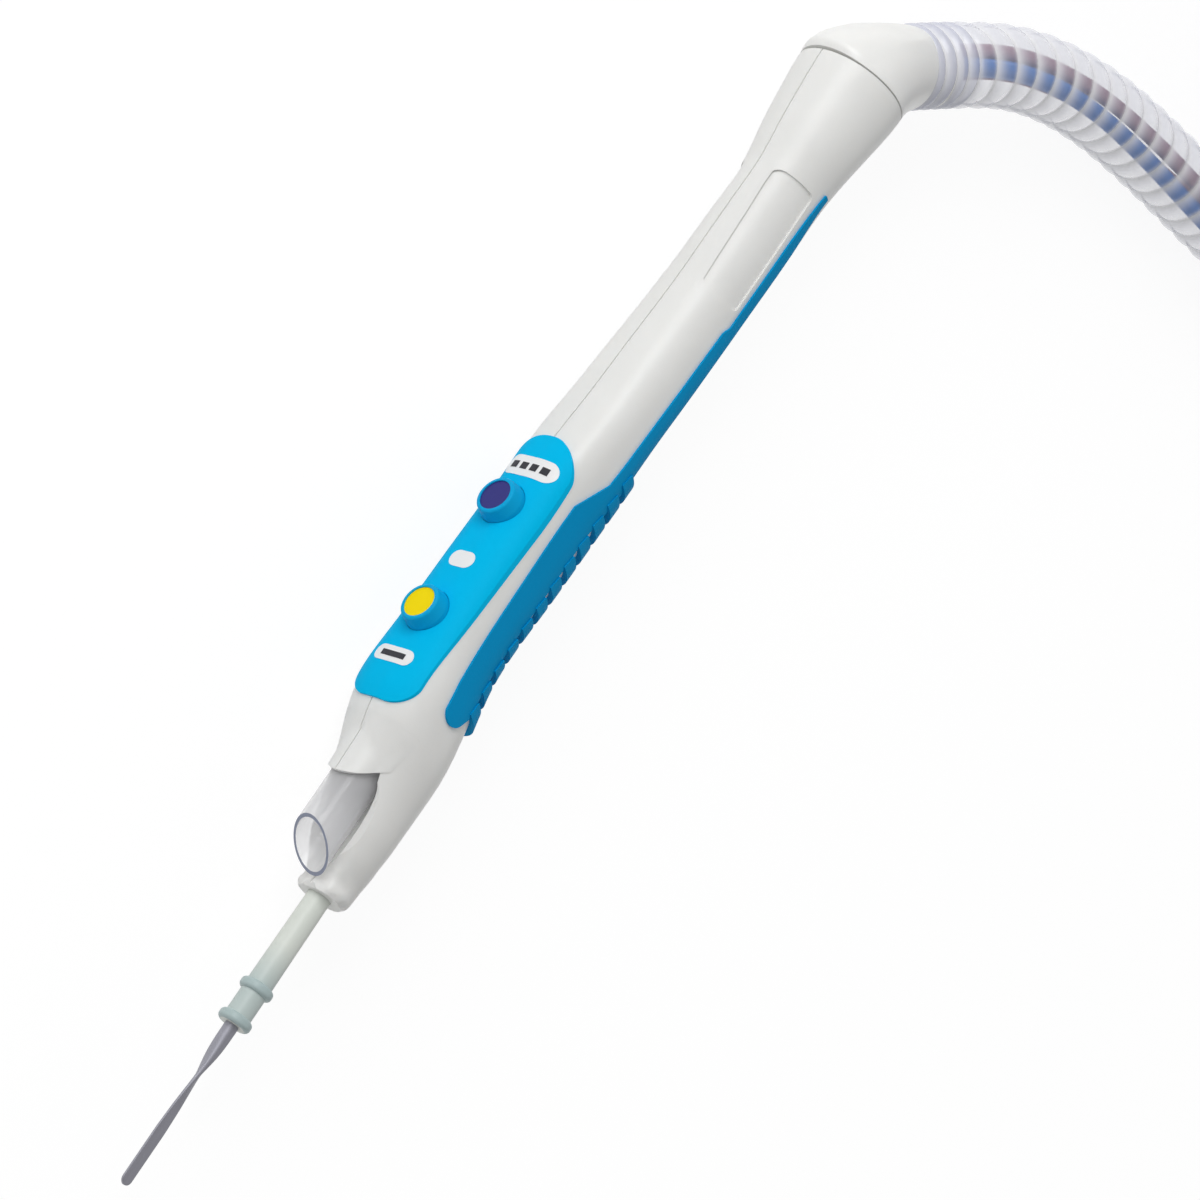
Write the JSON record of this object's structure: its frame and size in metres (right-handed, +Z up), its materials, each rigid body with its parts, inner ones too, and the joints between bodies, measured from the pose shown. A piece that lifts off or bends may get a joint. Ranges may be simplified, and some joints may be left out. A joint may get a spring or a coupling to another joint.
{
  "type": "electrosurgical pencil",
  "caption": "Hand-switched electrosurgical pencil with a clear smoke nozzle over its blade electrode, soft ribbed grips, a swivel elbow and a coiled clear suction hose with a plug.",
  "frame": {"origin": "on the surface the pencil lies on, under the middle of the footprint of the pencil without its hose, coil and plug", "axes": "+X along the handle towards the electrode tip, the buttons face -Y, +Z up out of the surface (the pencil's left side)"},
  "size_m": [0.4476, 0.2414, 0.0699],
  "materials": {
    "white_shell": "satin moulded",
    "panel_blue": "fine satin",
    "grip_blue": "soft touch",
    "tray_grey": "moulded",
    "board_green": "solder mask",
    "dome_steel": "stamped",
    "socket_brass": "turned",
    "wire_red": "insulated wire",
    "lead_blue": "cable jacket",
    "disc_yellow": "smooth",
    "disc_navy": "smooth",
    "clear_plastic": "clear",
    "blade_steel": "drawn and coined",
    "sleeve_grey": "moulded",
    "clear_hose": "clear corrugated",
    "tie_white": "woven band",
    "cuff_white": "moulded",
    "plug_blue": "moulded",
    "pin_nickel": "plated"
  },
  "bodies": {
    "hose_end": {"swivel_elbow": "white_shell", "hose": "clear_hose", "hose_lead": "lead_blue", "hose_coil": "clear_hose", "front_tie": "tie_white", "rear_tie": "tie_white", "hose_tail": "clear_hose", "end_cuff": "cuff_white", "plug_cable": "lead_blue", "plug_body": "plug_blue", "plug_pins": "pin_nickel"},
    "handle": {"left_shell": "white_shell", "right_shell": "white_shell", "button_panel": "panel_blue", "left_grip": "grip_blue", "right_grip": "grip_blue", "switch_tray": "tray_grey", "switch_board": "board_green", "cut_dome": "dome_steel", "coag_dome": "dome_steel", "electrode_socket": "socket_brass", "active_wire": "wire_red", "handle_lead": "lead_blue"},
    "cut_switch": {"cut_button": "panel_blue", "cut_button_disc": "disc_yellow"},
    "coag_switch": {"coag_button": "panel_blue", "coag_button_disc": "disc_navy"},
    "nozzle": {"smoke_nozzle": "clear_plastic"},
    "electrode": {"electrode_blade": "blade_steel", "electrode_sleeve": "sleeve_grey"}
  },
  "joints": [
    {"name": "swivel", "type": "hinge", "parent": "hose_end", "child": "handle", "pos_m": [-0.09706, -0.00179, 0.0098], "axis": [1, 0, 0], "continuous": true},
    {"name": "cut_press", "type": "slide", "parent": "handle", "child": "cut_switch", "axis": [0, 1, 0], "range_m": [0, 0.0006], "stiffness_N_per_m": 1500, "springref_m": -0.0004},
    {"name": "coag_press", "type": "slide", "parent": "handle", "child": "coag_switch", "axis": [0, 1, 0], "range_m": [0, 0.0006], "stiffness_N_per_m": 1500, "springref_m": -0.0004},
    {"name": "nozzle_slide", "type": "slide", "parent": "handle", "child": "nozzle", "axis": [1, 0, 0], "range_m": [0, 0.009]},
    {"name": "electrode_pull", "type": "slide", "parent": "handle", "child": "electrode", "axis": [1, 0, 0], "range_m": [0, 0.024]}
  ]
}
